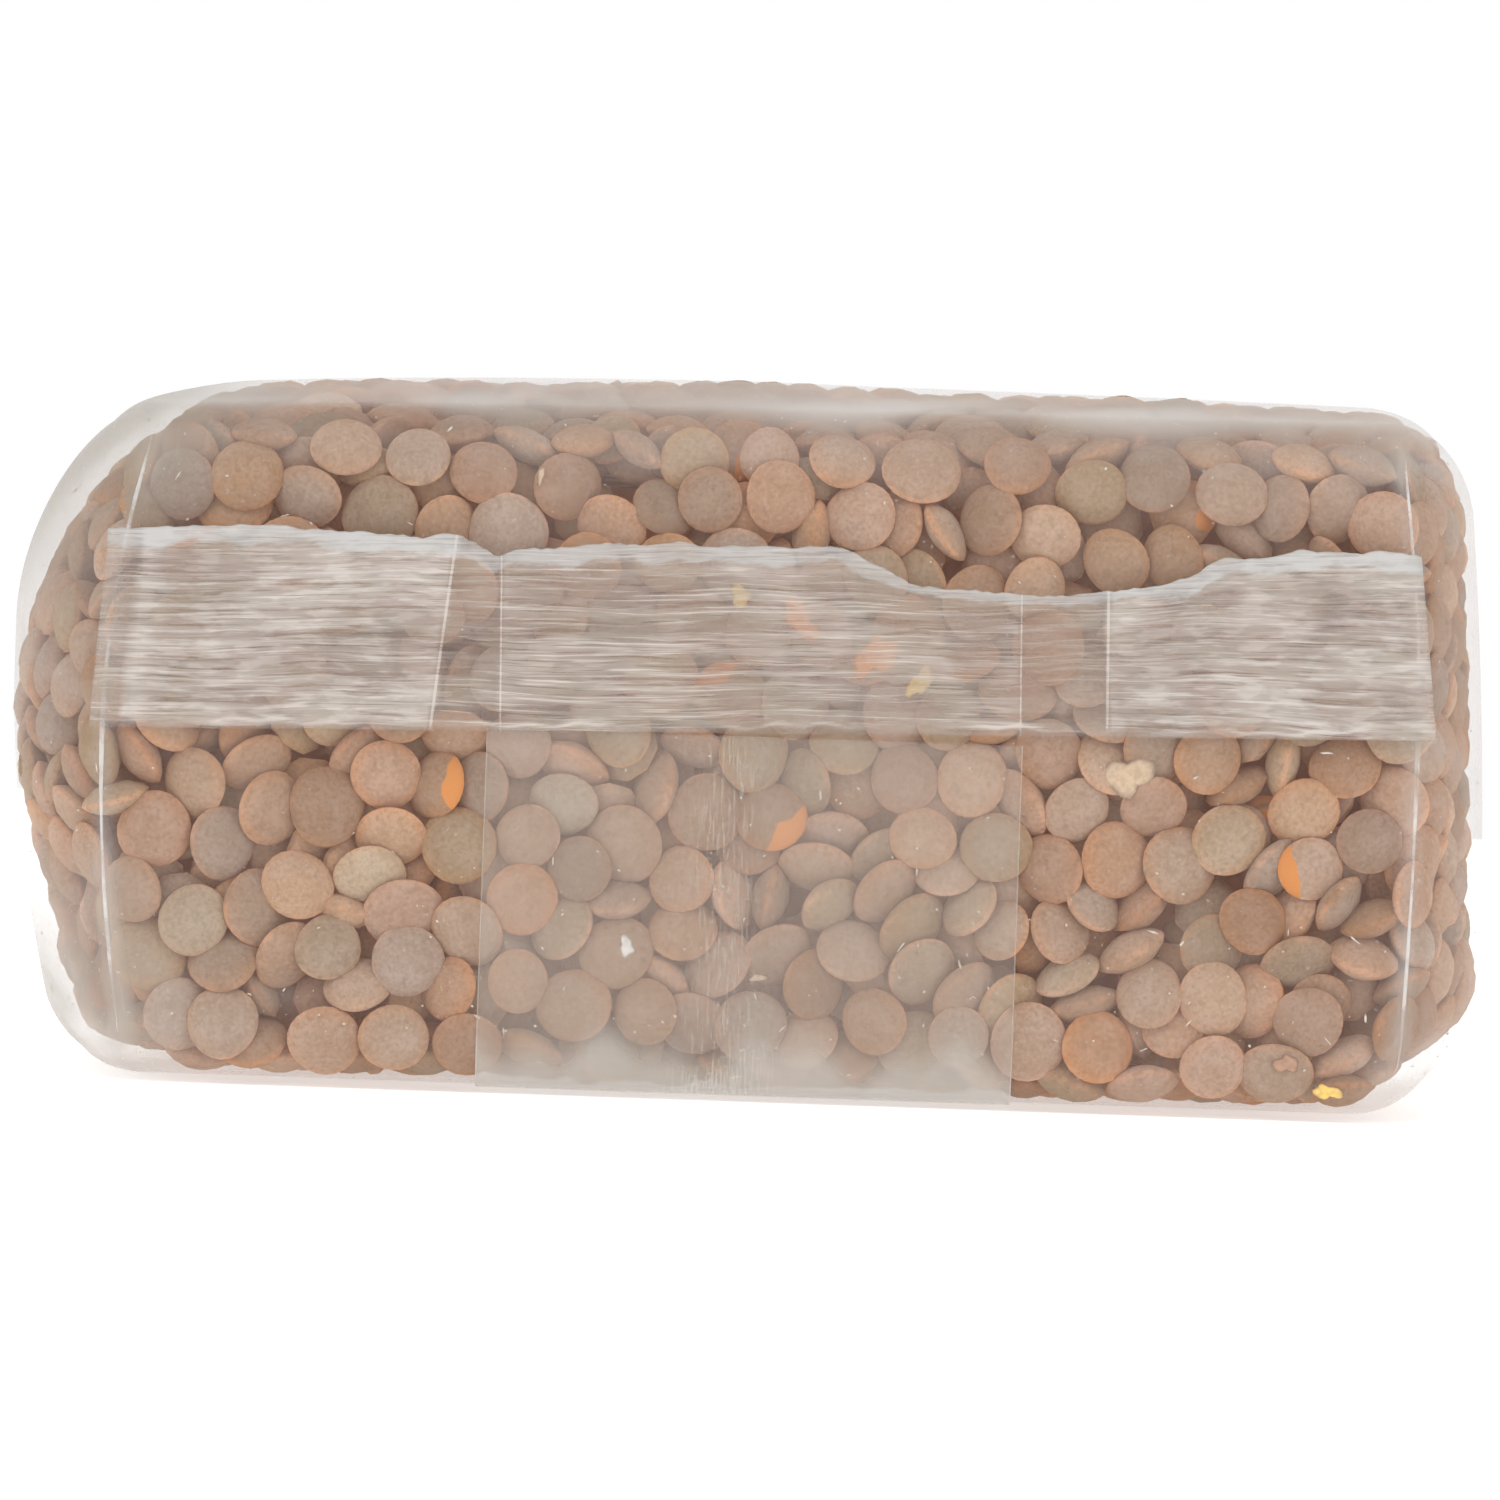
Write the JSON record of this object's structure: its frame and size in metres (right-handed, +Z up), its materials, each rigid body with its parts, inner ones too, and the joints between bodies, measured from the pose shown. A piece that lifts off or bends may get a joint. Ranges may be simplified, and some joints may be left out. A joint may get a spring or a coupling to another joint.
{
  "type": "bag of lentils",
  "caption": "Sealed clear film bag of small brown lentils, lying on its back panel, with a block end folded flat and a crimped seal fin.",
  "frame": {"origin": "centre of the underside, on the surface that the bag lies on", "axes": "+Z up from the back panel that it lies on; -Y out of the folded end that the picture shows; +Y along the bag's length; +X to the right as that end is seen"},
  "size_m": [0.1027, 0.1446, 0.0494],
  "materials": {
    "lentils": "dry, nearly matt seed coats in greyish to orange browns, seen through clear film",
    "film": "thin clear film, slightly milky where it stands off the filling or lies in several layers"
  },
  "bodies": {
    "root": {"bag": "lentils"}
  },
  "joints": []
}
